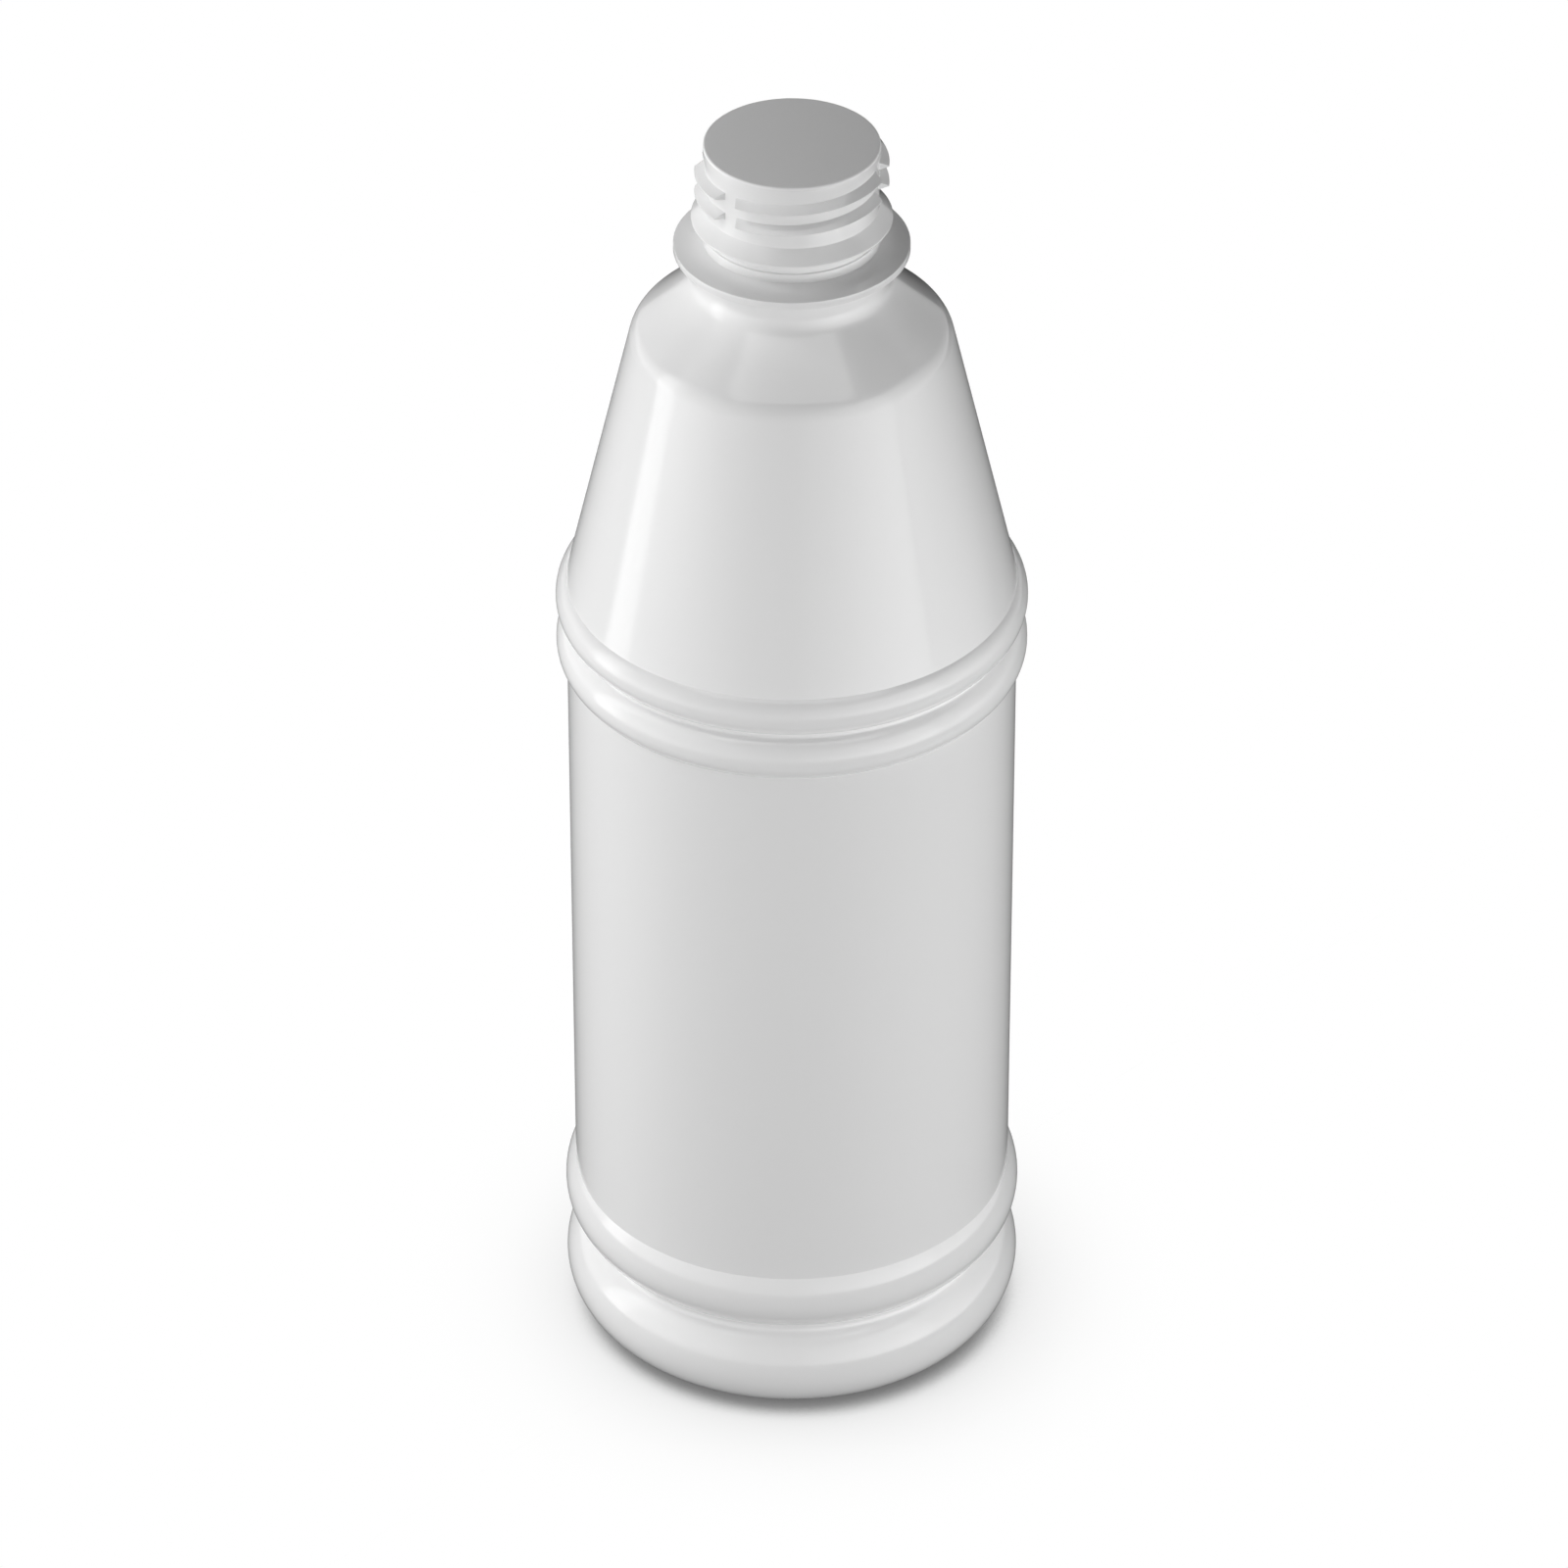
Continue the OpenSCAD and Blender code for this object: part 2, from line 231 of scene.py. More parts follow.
class BottleFinishes(bpy.types.PropertyGroup):
    """Colours and gloss of the pieces."""

    plastic: shade("Plastic", (0.76, 0.76, 0.76), "Colour of the opaque white plastic")
    plastic_rough: number("Plastic roughness", 0.13, "Roughness of the blown plastic", 0.0, 1.0)
    membrane: shade("Membrane", (0.79, 0.79, 0.79), "Colour of the membrane")
    membrane_rough: number("Membrane roughness", 0.6, "Roughness of the membrane", 0.0, 1.0)


class BottleStudio(bpy.types.PropertyGroup):
    """The camera, the lamps and the floor."""

    lens: number("Lens", 200.0, "Focal length in millimetres on a 36 mm sensor")
    camera_far: number("Camera distance", 1.2623, "Distance from the camera to the aim point, in metres")
    camera_tilt: angle("Camera tilt", 34.9, "How far the camera looks down")
    aim_z: number("Aim height", 0.0911, "Height of the aim point on the bottle's axis, in metres")
    shift_x: bpy.props.FloatProperty(
        name="Shift", default=-0.005, description="Sideways shift of the frame", min=-0.1, max=0.1
    )
    white: number("White", 1.0, "Level of the background where the camera or a reflection sees it")
    world: number("World light", 0.0, "Level of the even light from all round")
    fill: number("Fill", 1.0, "Share of the written level of the lamps that give the light")
    gloss: number("Reflections", 1.0, "Share of the written level of the lamps that show in the gloss")
    gloss_top: number("Top reflection", 1.9, "Level of the softbox over the bottle in the gloss")
    top_size: number("Top softbox", 0.8, "Side of the softbox over the bottle, in metres")
    top_z: number("Top softbox height", 0.8, "Height of the softbox over the bottle, in metres")
    floor: shade("Floor", (0.35, 0.35, 0.35), "Colour of the floor where it bounces light")
    shadow_reach: number("Shadow reach", 0.03, "Distance over which the bottle darkens the floor, in metres")
    shadow_lean: number("Shadow lean", 0.08, "How much more of the shadow lies at the right")
    card_r: number("Dark card", 1.6, "Radius of the card that darkens the bottle's edges, in metres")
    card_back: number("Card place", 0.9, "How far behind the bottle the card's middle is, in metres")
    card_fade: number("Card fade", 0.6, "Width of the card's soft rim, in metres")


GROUPS = {
    "bottle_body": BottleBodySizes,
    "bottle_neck": BottleNeckSizes,
    "bottle_thread": BottleThreadSizes,
    "bottle_finish": BottleFinishes,
    "bottle_studio": BottleStudio,
}


class SectionPen:
    """Draws one half section with bmesh operators, as a chain of edges in the XZ plane."""

    def __init__(self, bm, r, z):
        self.bm = bm
        self.tip = bm.verts.new((r, 0.0, z))
        self.corners = []

    def line(self, r, z, crisp=False):
        """A straight stretch. A crisp end is rounded by a hair when the chain is done."""
        new = bmesh.ops.extrude_vert_indiv(self.bm, verts=[self.tip])["verts"]
        self.tip = new[0]
        self.tip.co = (r, 0.0, z)
        if crisp:
            self.corners.append(self.tip)

    def arc(self, centre, turn, fineness):
        """A round stretch about a centre. A positive turn goes from +X towards +Z."""
        steps = max(2, math.ceil(abs(turn) / fineness))
        last = bmesh.ops.spin(
            self.bm,
            geom=[self.tip],
            cent=(centre[0], 0.0, centre[1]),
            axis=(0.0, -1.0, 0.0),
            dvec=(0.0, 0.0, 0.0),
            angle=turn,
            steps=steps,
            use_duplicate=False,
        )["geom_last"]
        self.tip = next(v for v in last if isinstance(v, bmesh.types.BMVert))

    def angle_at(self, centre):
        """Angle of the pen's tip as seen from a centre."""
        return math.atan2(self.tip.co.z - centre[1], self.tip.co.x - centre[0])

    def arc_to(self, centre, end_angle, fineness, clockwise=False):
        """A round stretch to an angle, anticlockwise unless told otherwise."""
        turn = end_angle - self.angle_at(centre)
        full = 2 * math.pi
        turn = -((-turn) % full) if clockwise else turn % full
        self.arc(centre, turn, fineness)


def direction(a, b):
    """Angle of the way from a to b in the section's plane."""
    return math.atan2(b[1] - a[1], b[0] - a[0])


def groove_middle(a, b, r):
    """Middle of a small circle that touches two beads (r, z, radius) from outside."""
    ra, rb = a[2] + r, b[2] + r
    dx, dz = b[0] - a[0], b[1] - a[1]
    d = math.hypot(dx, dz)
    t = (d * d + ra * ra - rb * rb) / (2 * d)
    side = math.sqrt(ra * ra - t * t)
    return (a[0] + (t * dx + side * dz) / d, a[1] + (t * dz - side * dx) / d)


class BottleShape:
    """Middles and joints of the body's section, worked out from the sizes."""

    def __init__(self, body, neck):
        self.body, self.neck = body, neck
        proud_r = body.panel_r + body.proud

        def bead(z, r):
            return (proud_r - r, z, r)

        def half_chord(r):
            return math.sqrt(2 * r * body.proud - body.proud**2)

        self.heel = bead(body.heel_r, body.heel_r)
        self.foot_top = bead(body.heel_r, body.foot_top_r)
        self.base_bead = bead(body.heel_r + body.base_bead_rise, body.base_bead_r)
        panel_top = self.base_bead[1] + half_chord(body.base_bead_r) + body.panel_h
        self.lower_bead = bead(panel_top + half_chord(body.lower_bead_r), body.lower_bead_r)
        self.upper_bead = bead(self.lower_bead[1] + body.bead_pitch, body.upper_bead_r)
        self.cone_base = (proud_r - body.cone_inset, self.upper_bead[1])
        self.cone_top = (body.cone_top_r, self.upper_bead[1] + body.cone_h)
        self.cone_angle = math.atan2(self.cone_base[0] - self.cone_top[0], body.cone_h)
        self.shoulder_angle = math.pi / 2 - body.shoulder_slope
        cone_out = (math.cos(self.cone_angle), math.sin(self.cone_angle))
        shoulder_out = (math.cos(self.shoulder_angle), math.sin(self.shoulder_angle))
        self.cone_out, self.shoulder_out = cone_out, shoulder_out
        det = shoulder_out[0] * cone_out[1] - shoulder_out[1] * cone_out[0]
        k = body.shoulder_edge_r / det
        self.edge_mid = (
            self.cone_top[0] + k * (shoulder_out[1] - cone_out[1]),
            self.cone_top[1] + k * (cone_out[0] - shoulder_out[0]),
        )
        fillet_x = neck.neck_r + body.fillet_r
        self.fillet_mid = (
            fillet_x,
            self.cone_top[1]
            + (body.fillet_r - (fillet_x - self.cone_top[0]) * shoulder_out[0]) / shoulder_out[1],
        )
        corner_z = self.cone_top[1] + (self.cone_top[0] - neck.neck_r) * math.tan(body.shoulder_slope)
        self.ring_z = corner_z + neck.neck_h
        self.lip_z = self.ring_z + neck.finish_h
        self.stand_mid = (body.stand_ring_r, body.stand_edge_r)
        dome_r = (
            body.stand_ring_r**2 + (body.stand_edge_r - body.push_up) ** 2 - body.stand_edge_r**2
        ) / (2 * body.push_up)
        self.dome_r = dome_r
        self.dome_mid = (0.0, body.push_up - dome_r)

    def draw_body(self, bm, inset, fine):
        """The section from the middle of the base up to the neck, set back by inset."""
        b = self.body
        pen = SectionPen(bm, 0.0, self.dome_mid[1] + self.dome_r + inset)
        pen.arc_to(self.dome_mid, direction(self.dome_mid, self.stand_mid), fine / 3, clockwise=True)
        pen.arc_to(self.stand_mid, math.radians(-90), fine * 2)
        pen.line(self.heel[0], inset)
        pen.arc_to(self.heel, 0.0, fine)
        groove = groove_middle(self.foot_top, self.base_bead, b.base_groove_r)
        pen.arc_to(self.foot_top, direction(self.foot_top, groove), fine)
        pen.arc_to(groove, direction(groove, self.base_bead), fine * 2, clockwise=True)
        pen.arc_to(self.base_bead, self.meets_panel(self.base_bead, inset), fine)
        pen.line(b.panel_r - inset, self.lower_bead[1] - self.chord(self.lower_bead, inset))
        groove = groove_middle(self.lower_bead, self.upper_bead, b.bead_groove_r)
        pen.arc_to(self.lower_bead, direction(self.lower_bead, groove), fine)
        pen.arc_to(groove, direction(groove, self.upper_bead), fine * 2, clockwise=True)
        pen.arc_to(self.upper_bead, self.meets_cone(inset), fine)
        r = b.shoulder_edge_r - inset
        pen.line(self.edge_mid[0] + r * self.cone_out[0], self.edge_mid[1] + r * self.cone_out[1])
        pen.arc_to(self.edge_mid, self.shoulder_angle, fine)
        r = b.fillet_r + inset
        pen.line(
            self.fillet_mid[0] - r * self.shoulder_out[0], self.fillet_mid[1] - r * self.shoulder_out[1]
        )
        pen.arc_to(self.fillet_mid, math.radians(180), fine, clockwise=True)
        return pen

    def chord(self, bead, inset):
        """Half of the height at which a bead's circle crosses the panel's line."""
        r = bead[2] - inset
        return math.sqrt(r * r - (self.body.panel_r - inset - bead[0]) ** 2)

    def meets_panel(self, bead, inset):
        """Angle at which a bead's circle crosses the panel's line, above the bead."""
        return math.atan2(self.chord(bead, inset), self.body.panel_r - inset - bead[0])

    def meets_cone(self, inset):
        """Angle at which the upper bead's circle crosses the cone's line, above the bead."""
        bead = self.upper_bead
        gap = (self.cone_base[0] - bead[0]) * self.cone_out[0] - inset
        return self.cone_angle + math.acos(gap / (bead[2] - inset))

    def draw_finish(self, pen):
        """The support ring, the band bead, the tube and the lip, in crisp corners."""
        n, z = self.neck, self.ring_z
        bead_z = z + n.bead_h
        pen.line(n.neck_r, z, crisp=True)
        pen.line(n.ring_r, z, crisp=True)
        pen.line(n.ring_r, z + n.ring_t, crisp=True)
        pen.line(n.foot_r, z + n.ring_t + n.ring_rise, crisp=True)
        pen.line(n.foot_r, z + n.foot_h, crisp=True)
        pen.line(n.tube_r, z + n.foot_h + FOOT_TAPER)
        pen.line(n.tube_r, bead_z - n.bead_edge - n.bead_under, crisp=True)
        pen.line(n.bead_r, bead_z - n.bead_edge, crisp=True)
        pen.line(n.bead_r, bead_z, crisp=True)
        pen.line(n.tube_r, bead_z + n.bead_cone, crisp=True)
        pen.line(n.tube_r, self.lip_z - n.lip_h)
        pen.line(n.lip_r, self.lip_z - n.lip_h)
        pen.line(n.lip_r, self.lip_z - n.lip_edge_r)
        pen.arc((n.lip_r - n.lip_edge_r, self.lip_z - n.lip_edge_r), math.radians(90), LIP_STEP)
        pen.line(n.bore_r, self.lip_z)
        bmesh.ops.bevel(
            pen.bm, geom=pen.corners, offset=n.crisp_edge, affect="VERTICES",
            segments=EDGE_SEGMENTS, profile=0.5, material=-1, clamp_overlap=True,
        )


def shape_now(context):
    """The bottle's section for the sizes in the panel."""
    return BottleShape(context.scene.bottle_body, context.scene.bottle_neck)


def finish_piece(bm, name, material, cad_node, crease=30.0):
    """Turns a bmesh in millimetres into a piece of the bottle that rides on the frame."""
    bmesh.ops.scale(bm, vec=(MM, MM, MM), verts=bm.verts)
    mesh = bpy.data.meshes.new(name)
    bm.to_mesh(mesh)
    bm.free()
    mesh.shade_smooth()
    mesh.set_sharp_from_angle(angle=math.radians(crease))
    mesh.materials.append(material)
    piece = bpy.data.objects.new(name, mesh)
    bpy.context.scene.collection.objects.link(piece)
    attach(piece, "root")
    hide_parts(cad_node)
    return piece


def new_material(name):
    """A node material and its shader, on Object coordinates."""
    material = bpy.data.materials.new(name)
    material.use_nodes = True
    nodes, links = material.node_tree.nodes, material.node_tree.links
    shader = nodes["Principled BSDF"]
    coords = nodes.new("ShaderNodeTexCoord")
    return material, nodes, links, shader, coords


def plastic_material(finish):
    """Opaque white plastic: a fine even gloss over the slight unevenness of a blown wall."""
    material, nodes, links, shader, coords = new_material("gloss_white_plastic")
    shader.inputs["IOR"].default_value = PLASTIC_IOR
    tone = nodes.new("ShaderNodeTexNoise")
    tone.inputs["Scale"].default_value = BLOWN_SCALE
    links.new(coords.outputs["Object"], tone.inputs["Vector"])
    colour = nodes.new("ShaderNodeMix")
    colour.data_type = "RGBA"
    colour.inputs["A"].default_value = (*[(1.0 - BLOWN_TONE) * c for c in finish.plastic], 1.0)
    colour.inputs["B"].default_value = (*[min(1.0, (1.0 + BLOWN_TONE) * c) for c in finish.plastic], 1.0)
    links.new(tone.outputs["Fac"], colour.inputs["Factor"])
    links.new(colour.outputs["Result"], shader.inputs["Base Color"])
    gloss = nodes.new("ShaderNodeMapRange")
    gloss.inputs["To Min"].default_value = finish.plastic_rough - BLOWN_GLOSS
    gloss.inputs["To Max"].default_value = finish.plastic_rough + BLOWN_GLOSS
    links.new(tone.outputs["Fac"], gloss.inputs["Value"])
    links.new(gloss.outputs["Result"], shader.inputs["Roughness"])
    return material


def membrane_material(finish):
    """Matt coated membrane, with a very fine grain."""
    material, nodes, links, shader, coords = new_material("matt_membrane")
    shader.inputs["Base Color"].default_value = (*finish.membrane, 1.0)
    grain = nodes.new("ShaderNodeTexNoise")
    grain.inputs["Scale"].default_value = GRAIN_SCALE
    links.new(coords.outputs["Object"], grain.inputs["Vector"])
    gloss = nodes.new("ShaderNodeMapRange")
    gloss.inputs["To Min"].default_value = finish.membrane_rough - GRAIN_GLOSS
    gloss.inputs["To Max"].default_value = finish.membrane_rough + GRAIN_GLOSS
    links.new(grain.outputs["Fac"], gloss.inputs["Value"])
    links.new(gloss.outputs["Result"], shader.inputs["Roughness"])
    return material


def shared_material(name, maker, finish):
    """The material of that name, made when the first piece asks for it."""
    return bpy.data.materials.get(name) or maker(finish)


class BOTTLE_OT_blown_shell(bpy.types.Operator):
    """Models the blown bottle with its real wall, from base to lip"""

    bl_idname = "bottle.blown_shell"
    bl_label = "Blown shell"

    def execute(self, context):
        shape = shape_now(context)
        body = context.scene.bottle_body
        neck = context.scene.bottle_neck
        bm = bmesh.new()
        outer = shape.draw_body(bm, 0.0, OUTER_STEP)
        shape.draw_finish(outer)
        inner = shape.draw_body(bm, body.wall, INNER_STEP)
        inner.line(neck.bore_r, shape.ring_z)
        bm.edges.new((outer.tip, inner.tip))
        bmesh.ops.spin(
            bm, geom=bm.verts[:] + bm.edges[:], cent=(0, 0, 0), axis=Z_AXIS, dvec=(0, 0, 0),
            angle=2 * math.pi, steps=body.turns, use_merge=True, use_duplicate=False,
        )
        bmesh.ops.remove_doubles(bm, verts=bm.verts, dist=WELD)
        bmesh.ops.recalc_face_normals(bm, faces=bm.faces)
        material = shared_material("gloss_white_plastic", plastic_material, context.scene.bottle_finish)
        finish_piece(bm, "blown_shell", material, "bottle")
        return {"FINISHED"}


def thread_section(bm, size, tube_r, lip_z):
    """One section of the thread at the front, as a face in the plane through the axis."""
    high = size.crest_r - tube_r
    reach = (high + size.rooted) / high
    z = lip_z - size.front_depth
    corners = [
        (tube_r - size.rooted, z + size.crest_w + size.flank_h * reach),
        (size.crest_r, z + size.crest_w),
        (size.crest_r, z),
        (tube_r - size.rooted, z - size.under_h * reach),
    ]
    return bm.faces.new([bm.verts.new((0.0, -r, h)) for r, h in corners])


def shape_run(bm, size, tube_r, lip_z, ends, lead_ends):
    """Draws a run's crest back from the vents, and sinks it where the thread starts and stops."""
    middle = (ends[0] + ends[1]) / 2
    half = (ends[1] - ends[0]) / 2
    high = size.crest_r - tube_r
    rise = size.pitch / (2 * math.pi)
    pull = [0.0 if lead else size.gap_crest - size.gap_root for lead in lead_ends]
    for v in bm.verts:
        r = v.co.xy.length
        off = math.remainder(math.atan2(v.co.x, -v.co.y) - middle, 2 * math.pi)
        gone = [half + off, half - off]
        grown = min([1.0] + [past / size.lead for lead, past in zip(lead_ends, gone) if lead])
        drop = (1.0 - grown) * (high + size.sunk) / high
        if r < tube_r:
            over_crest_foot = v.co.z - (lip_z - size.front_depth) - rise * (middle + off)
            v.co.z -= drop * (size.flank_h if over_crest_foot > size.crest_w / 2 else -size.under_h)
            continue
        shift = -off / half * (pull[1] if off > 0 else pull[0])
        place = middle + off + shift
        r -= drop * high
        v.co = (r * math.sin(place), -r * math.cos(place), v.co.z + rise * shift)


class BOTTLE_OT_neck_thread(bpy.types.Operator):
    """Models the thread in short runs, with a vent between each two"""

    bl_idname = "bottle.neck_thread"
    bl_label = "Neck thread"

    def execute(self, context):
        size = context.scene.bottle_thread
        neck = context.scene.bottle_neck
        lip_z = shape_now(context).lip_z
        end = size.start - size.sweep
        pair = (0.0, -size.gap_pair)
        every = [size.gap + place + math.pi * turn for turn in VENT_TURNS for place in pair]
        vents = sorted(g for g in every if end + size.lead < g < size.start - size.lead)
        marks = [end, *vents, size.start]
        bm = bmesh.new()
        for i, (low, high) in enumerate(zip(marks, marks[1:])):
            lead_ends = (i == 0, i == len(vents))
            low += 0.0 if lead_ends[0] else size.gap_root
            high -= 0.0 if lead_ends[1] else size.gap_root
            self.add_run(bm, size, neck.tube_r, lip_z, (low, high), lead_ends)
        material = shared_material("gloss_white_plastic", plastic_material, context.scene.bottle_finish)
        finish_piece(bm, "neck_thread", material, "bottle")
        return {"FINISHED"}

    def add_run(self, bm, size, tube_r, lip_z, ends, lead_ends):
        """Adds one run of the thread between two angles, with rounded edges."""
        run = bmesh.new()
        face = thread_section(run, size, tube_r, lip_z)
        rise = size.pitch / (2 * math.pi)
        turn = ends[1] - ends[0]
        steps = math.ceil(turn / size.step)
        bmesh.ops.rotate(run, verts=run.verts, cent=(0, 0, 0), matrix=Matrix.Rotation(ends[0], 3, "Z"))
        bmesh.ops.translate(run, verts=run.verts, vec=(0, 0, rise * ends[0]))
        bmesh.ops.spin(
            run, geom=[face], cent=(0, 0, 0), axis=Z_AXIS, dvec=(0, 0, rise * turn / steps),
            angle=turn, steps=steps, use_duplicate=False,
        )
        shape_run(run, size, tube_r, lip_z, ends, lead_ends)
        bmesh.ops.recalc_face_normals(run, faces=run.faces)
        sharp = [
            e for e in run.edges
            if e.calc_face_angle(0.0) > size.round_over and max(v.co.xy.length for v in e.verts) > tube_r
        ]
        bmesh.ops.bevel(
            run, geom=sharp, offset=size.edge, affect="EDGES", segments=EDGE_SEGMENTS, profile=0.5,
            material=-1, clamp_overlap=True,
        )
        mesh = bpy.data.meshes.new("thread_run")
        run.to_mesh(mesh)
        run.free()
        bm.from_mesh(mesh)
        bpy.data.meshes.remove(mesh)


class BOTTLE_OT_mouth_membrane(bpy.types.Operator):
    """Models the thin membrane that is bonded on the lip"""

    bl_idname = "bottle.mouth_membrane"
    bl_label = "Mouth membrane"

    def execute(self, context):
        neck = context.scene.bottle_neck
        shape = shape_now(context)
        turns = context.scene.bottle_body.turns
        bm = bmesh.new()
        bmesh.ops.create_circle(bm, cap_ends=True, segments=turns, radius=neck.lip_r)
        bmesh.ops.translate(bm, verts=bm.verts, vec=(0, 0, shape.lip_z))
        top = bmesh.ops.extrude_face_region(bm, geom=bm.faces[:], use_keep_orig=True)["geom"]
        raised = [v for v in top if isinstance(v, bmesh.types.BMVert)]
        bmesh.ops.translate(bm, verts=raised, vec=(0, 0, neck.seal_t))
        edges = [e for e in top if isinstance(e, bmesh.types.BMEdge)]
        bmesh.ops.bevel(
            bm, geom=edges, offset=neck.seal_edge_r, affect="EDGES", segments=MEMBRANE_SEGMENTS,
            profile=0.5, material=-1,
        )
        bmesh.ops.recalc_face_normals(bm, faces=bm.faces)
        material = shared_material("matt_membrane", membrane_material, context.scene.bottle_finish)
        finish_piece(bm, "mouth_membrane", material, "mouth_seal")
        return {"FINISHED"}


def round_the_bottle(azimuth, distance):
    """A place on the floor, given by its angle in degrees from the front towards the right."""
    turn = math.radians(azimuth)
    return Vector((distance * math.sin(turn), -distance * math.cos(turn), 0.0))


def math_node(nodes, links, operation, *values):
    """A Math node. Each value is a number or a socket."""
    node = nodes.new("ShaderNodeMath")
    node.operation = operation
    for socket, value in zip(node.inputs, values):
        if isinstance(value, bpy.types.NodeSocket):
            links.new(value, socket)
        else:
            socket.default_value = value
    return node.outputs["Value"]


def seen_as_background(nodes, links):
    """One for the camera and for rays that metal, gloss or glass sends on, nought for others."""
    path = nodes.new("ShaderNodeLightPath")
    gloss = math_node(nodes, links, "MAXIMUM", path.outputs["Is Camera Ray"], path.outputs["Is Glossy Ray"])
    return math_node(nodes, links, "MAXIMUM", gloss, path.outputs["Is Transmission Ray"])


def soft_box(name, edges, heights, level, inner_share):
    """An upright rectangular lamp between two places on the plan, brightest at its outer edge."""
    outer, inner = edges
    low, high = heights
    data = bpy.data.lights.new(name, "AREA")
    data.shape = "RECTANGLE"
    data.size, data.size_y = (inner - outer).length, high - low
    data.energy = level * math.pi * data.size * data.size_y
    data.use_nodes = True
    nodes, links = data.node_tree.nodes, data.node_tree.links
    across = nodes.new("ShaderNodeSeparateXYZ")
    links.new(nodes.new("ShaderNodeNewGeometry").outputs["Parametric"], across.inputs["Vector"])
    fade = nodes.new("ShaderNodeMapRange")
    fade.interpolation_type = "SMOOTHSTEP"
    fade.inputs["To Min"].default_value = 1.0
    fade.inputs["To Max"].default_value = inner_share
    links.new(across.outputs["X"], fade.inputs["Value"])
    links.new(fade.outputs["Result"], nodes["Emission"].inputs["Strength"])
    lamp = bpy.data.objects.new(name, data)
    along = (inner - outer).normalized()
    facing = Vector((0.0, 0.0, 1.0)).cross(along)
    middle = (inner + outer) / 2
    if facing.dot(middle) > 0:
        facing = -facing
    up = facing.cross(along)
    turn = Matrix((along, -up, -facing)).transposed()
    lamp.matrix_world = Matrix.Translation(middle + Vector((0.0, 0.0, (low + high) / 2))) @ turn.to_4x4()
    lamp.visible_camera = False
    bpy.context.scene.collection.objects.link(lamp)
    return lamp


def lights_only(lamp):
    """Keeps a lamp out of the gloss."""
    lamp.visible_glossy = False


def shows_only(lamp):
    """Keeps a lamp from lighting anything but the gloss."""
    lamp.visible_diffuse = False


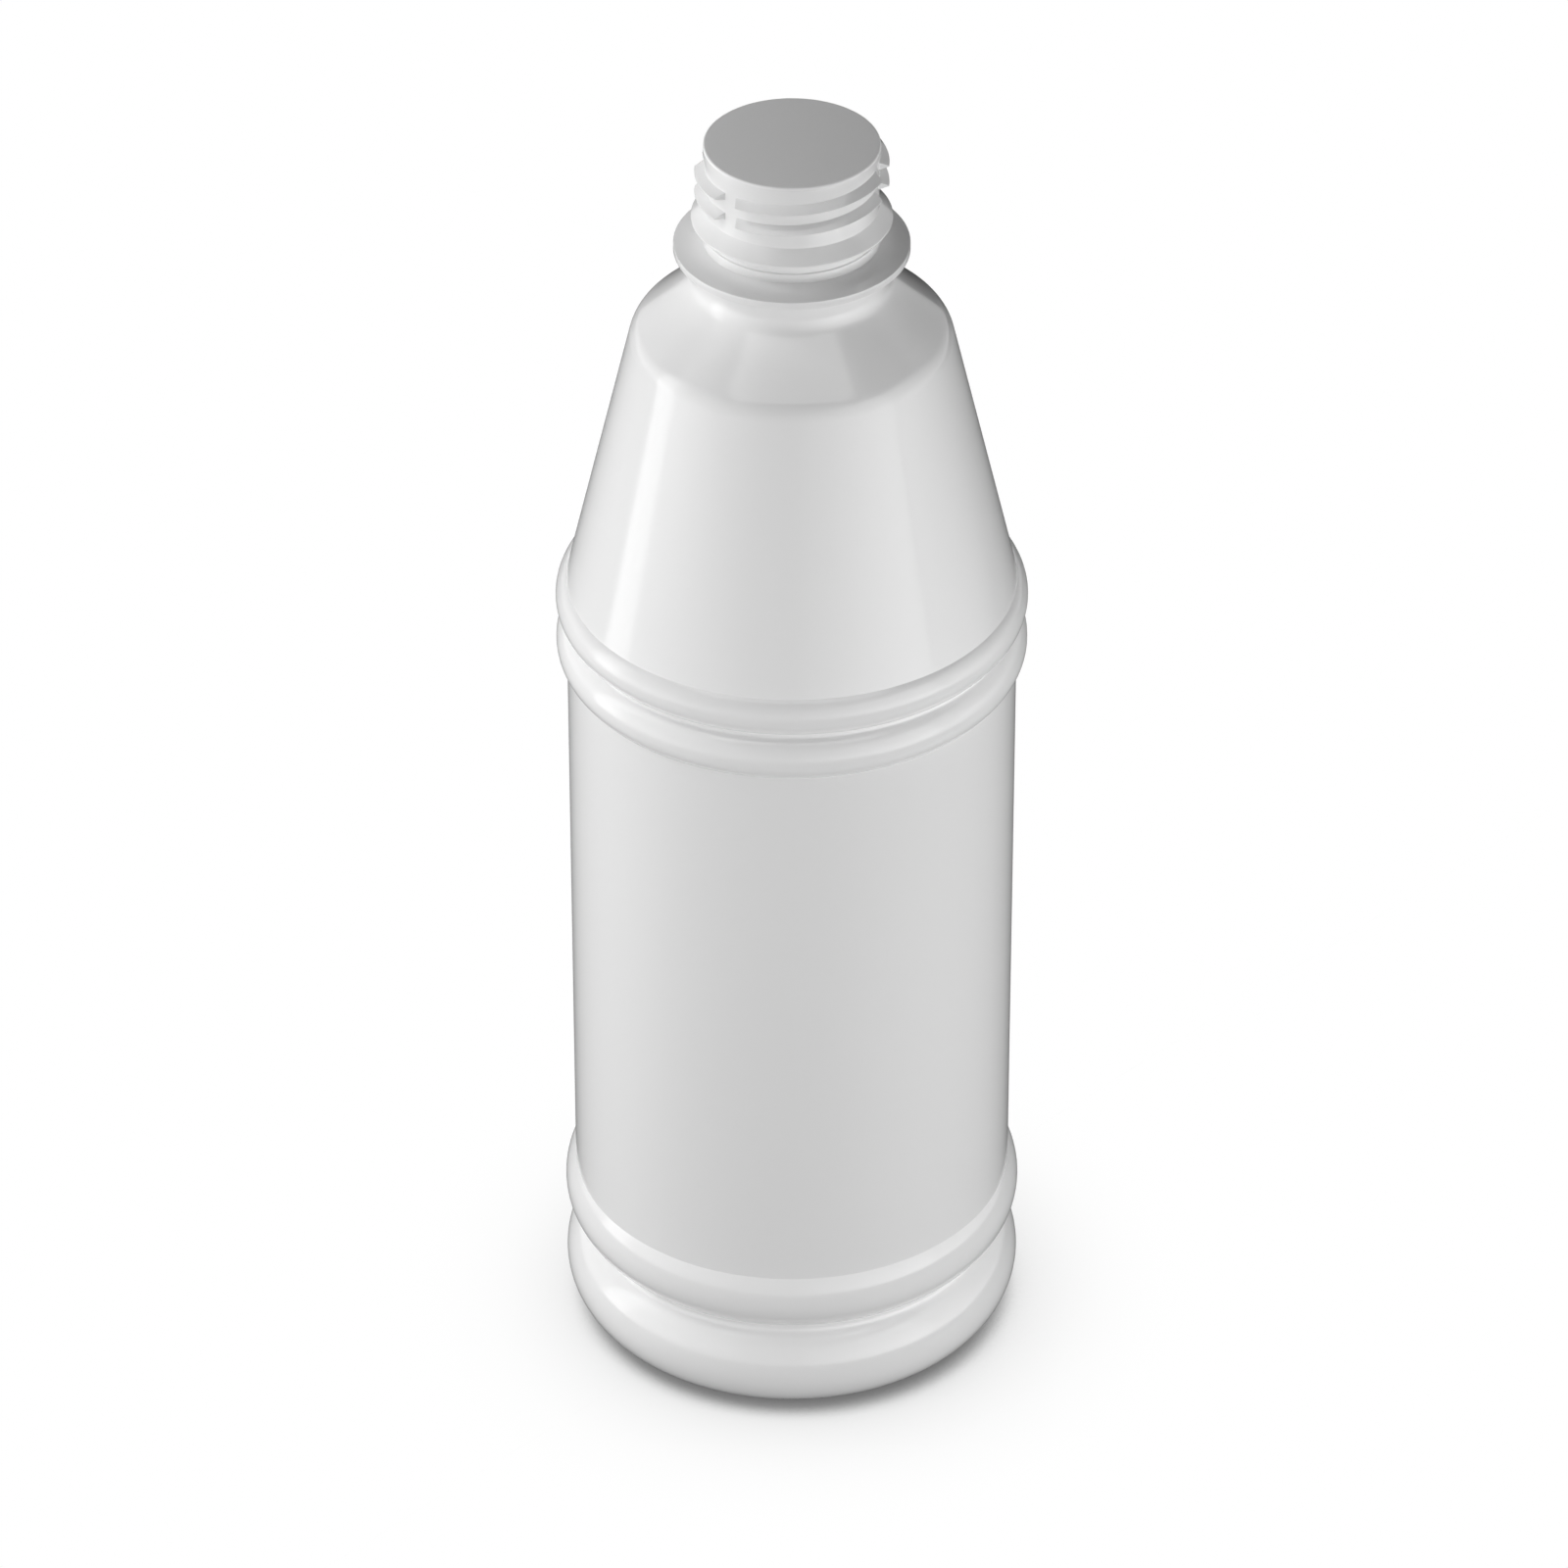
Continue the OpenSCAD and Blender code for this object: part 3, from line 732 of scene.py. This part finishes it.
class BOTTLE_OT_studio(bpy.types.Operator):
    """Sets the white floor, the soft lamps and the camera"""

    bl_idname = "bottle.studio"
    bl_label = "Studio"

    def execute(self, context):
        scene = context.scene
        studio = scene.bottle_studio
        self.make_world(scene, studio)
        self.make_floor(studio)
        self.make_card(studio)
        self.make_lamps(studio)
        self.make_camera(scene, studio)
        scene.view_settings.view_transform = "Standard"
        return {"FINISHED"}

    def make_world(self, scene, studio):
        """White as a background and in the gloss, with a level of its own for what it lights."""
        world = bpy.data.worlds.new("studio")
        scene.world = world
        world.use_nodes = True
        nodes, links = world.node_tree.nodes, world.node_tree.links
        background = nodes["Background"]
        background.inputs["Color"].default_value = (1.0, 1.0, 1.0, 1.0)
        level = nodes.new("ShaderNodeMapRange")
        level.inputs["To Min"].default_value = studio.world
        level.inputs["To Max"].default_value = studio.white
        links.new(seen_as_background(nodes, links), level.inputs["Value"])
        links.new(level.outputs["Result"], background.inputs["Strength"])

    def make_floor(self, studio):
        """A wide level floor: white but for the bottle's shadow, and pale where it bounces light."""
        bm = bmesh.new()
        bmesh.ops.create_grid(bm, x_segments=1, y_segments=1, size=FLOOR_HALF)
        mesh = bpy.data.meshes.new("studio_floor")
        bm.to_mesh(mesh)
        bm.free()
        floor = bpy.data.objects.new("studio_floor", mesh)
        bpy.context.scene.collection.objects.link(floor)
        material, nodes, links, shader, _ = new_material("studio_floor")
        shader.inputs["Roughness"].default_value = FLOOR_ROUGH
        shader.inputs["Base Color"].default_value = (*studio.floor, 1.0)
        near = nodes.new("ShaderNodeAmbientOcclusion")
        near.samples = SHADOW_SAMPLES
        near.inputs["Distance"].default_value = studio.shadow_reach
        lean = nodes.new("ShaderNodeCombineXYZ")
        lean.inputs["X"].default_value = -studio.shadow_lean
        lean.inputs["Z"].default_value = 1.0
        links.new(lean.outputs["Vector"], near.inputs["Normal"])
        fall = nodes.new("ShaderNodeFloatCurve")
        curve = fall.mapping.curves[0]
        curve.points[0].location = SHADOW_FALL[0]
        curve.points[1].location = SHADOW_FALL[-1]
        for point in SHADOW_FALL[1:-1]:
            curve.points.new(*point)
        fall.mapping.update()
        links.new(near.outputs["AO"], fall.inputs["Value"])
        glow = nodes.new("ShaderNodeEmission")
        level = math_node(nodes, links, "MULTIPLY", fall.outputs["Value"], studio.white)
        links.new(level, glow.inputs["Strength"])
        either = nodes.new("ShaderNodeMixShader")
        links.new(seen_as_background(nodes, links), either.inputs["Fac"])
        links.new(shader.outputs["BSDF"], either.inputs[1])
        links.new(glow.outputs["Emission"], either.inputs[2])
        links.new(either.outputs["Shader"], nodes["Material Output"].inputs["Surface"])
        mesh.materials.append(material)

    def make_card(self, studio):
        """A dark card on the floor behind the bottle, seen only in its gloss, which draws its edges."""
        bm = bmesh.new()
        bmesh.ops.create_circle(bm, cap_ends=True, segments=CARD_SIDES, radius=studio.card_r)
        bmesh.ops.translate(bm, verts=bm.verts, vec=(0.0, 0.0, CARD_LIFT))
        mesh = bpy.data.meshes.new("dark_card")
        bm.to_mesh(mesh)
        bm.free()
        card = bpy.data.objects.new("dark_card", mesh)
        card.location = (0.0, studio.card_back, 0.0)
        bpy.context.scene.collection.objects.link(card)
        card.visible_camera = False
        card.visible_diffuse = False
        card.visible_transmission = False
        card.visible_shadow = False
        material, nodes, links, shader, coords = new_material("dark_card")
        shader.inputs["Base Color"].default_value = (0.0, 0.0, 0.0, 1.0)
        shader.inputs["Specular IOR Level"].default_value = 0.0
        far = nodes.new("ShaderNodeVectorMath")
        far.operation = "LENGTH"
        links.new(coords.outputs["Object"], far.inputs[0])
        rim = nodes.new("ShaderNodeMapRange")
        rim.interpolation_type = "SMOOTHSTEP"
        rim.inputs["From Min"].default_value = studio.card_r
        rim.inputs["From Max"].default_value = studio.card_r - studio.card_fade
        links.new(far.outputs["Value"], rim.inputs["Value"])
        clear = nodes.new("ShaderNodeBsdfTransparent")
        either = nodes.new("ShaderNodeMixShader")
        links.new(rim.outputs["Result"], either.inputs["Fac"])
        links.new(clear.outputs["BSDF"], either.inputs[1])
        links.new(shader.outputs["BSDF"], either.inputs[2])
        links.new(either.outputs["Shader"], nodes["Material Output"].inputs["Surface"])
        mesh.materials.append(material)

    def make_lamps(self, studio):
        """Soft lamps round the bottle. What gives the light and what shows in the gloss is set apart."""
        for lamps, share, limit in (
            (FILL_LAMPS, studio.fill, lights_only), (GLOSS_LAMPS, studio.gloss, shows_only),
        ):
            for name, place, heights, level, inner_share in lamps:
                edges = [round_the_bottle(*edge) for edge in place]
                limit(soft_box(name, edges, heights, share * level, inner_share))
        data = bpy.data.lights.new("gloss_top", "AREA")
        data.shape = "SQUARE"
        data.size = studio.top_size
        data.energy = studio.gloss_top * math.pi * data.size**2
        lamp = bpy.data.objects.new("gloss_top", data)
        lamp.location = (0.0, 0.0, studio.top_z)
        lamp.visible_camera = False
        shows_only(lamp)
        bpy.context.scene.collection.objects.link(lamp)

    def make_camera(self, scene, studio):
        """A long lens that looks down at the bottle from the front."""
        data = bpy.data.cameras.new("camera")
        data.sensor_width = SENSOR_MM
        data.lens = studio.lens
        data.shift_x = studio.shift_x
        data.clip_start, data.clip_end = CLIP
        camera = bpy.data.objects.new("camera", data)
        back = Vector((0.0, -math.cos(studio.camera_tilt), math.sin(studio.camera_tilt)))
        camera.location = Vector((0.0, 0.0, studio.aim_z)) + back * studio.camera_far
        camera.rotation_euler = (-back).to_track_quat("-Z", "Y").to_euler()
        scene.collection.objects.link(camera)
        scene.camera = camera


class BOTTLE_PT_sidebar(bpy.types.Panel):
    """Lists the steps that make the bottle"""

    bl_label = "Screw neck bottle"
    bl_idname = "BOTTLE_PT_sidebar"
    bl_space_type = "VIEW_3D"
    bl_region_type = "UI"
    bl_category = "Bottle"

    def draw(self, context):
        column = self.layout.column()
        for operator in OPERATORS:
            column.operator(operator.bl_idname)
        for name in GROUPS:
            group = getattr(context.scene, name)
            box = self.layout.box()
            for key in group.__annotations__:
                box.prop(group, key)


OPERATORS = (BOTTLE_OT_studio, BOTTLE_OT_blown_shell, BOTTLE_OT_neck_thread, BOTTLE_OT_mouth_membrane)
CLASSES = (*GROUPS.values(), *OPERATORS, BOTTLE_PT_sidebar)


def register():
    for cls in CLASSES:
        bpy.utils.register_class(cls)
    for name, group in GROUPS.items():
        setattr(bpy.types.Scene, name, bpy.props.PointerProperty(type=group))


def unregister():
    for name in GROUPS:
        delattr(bpy.types.Scene, name)
    for cls in reversed(CLASSES):
        bpy.utils.unregister_class(cls)


def main():
    register()
    bpy.ops.bottle.studio()
    bpy.ops.bottle.blown_shell()
    bpy.ops.bottle.neck_thread()
    bpy.ops.bottle.mouth_membrane()


if __name__ == "__main__":
    main()
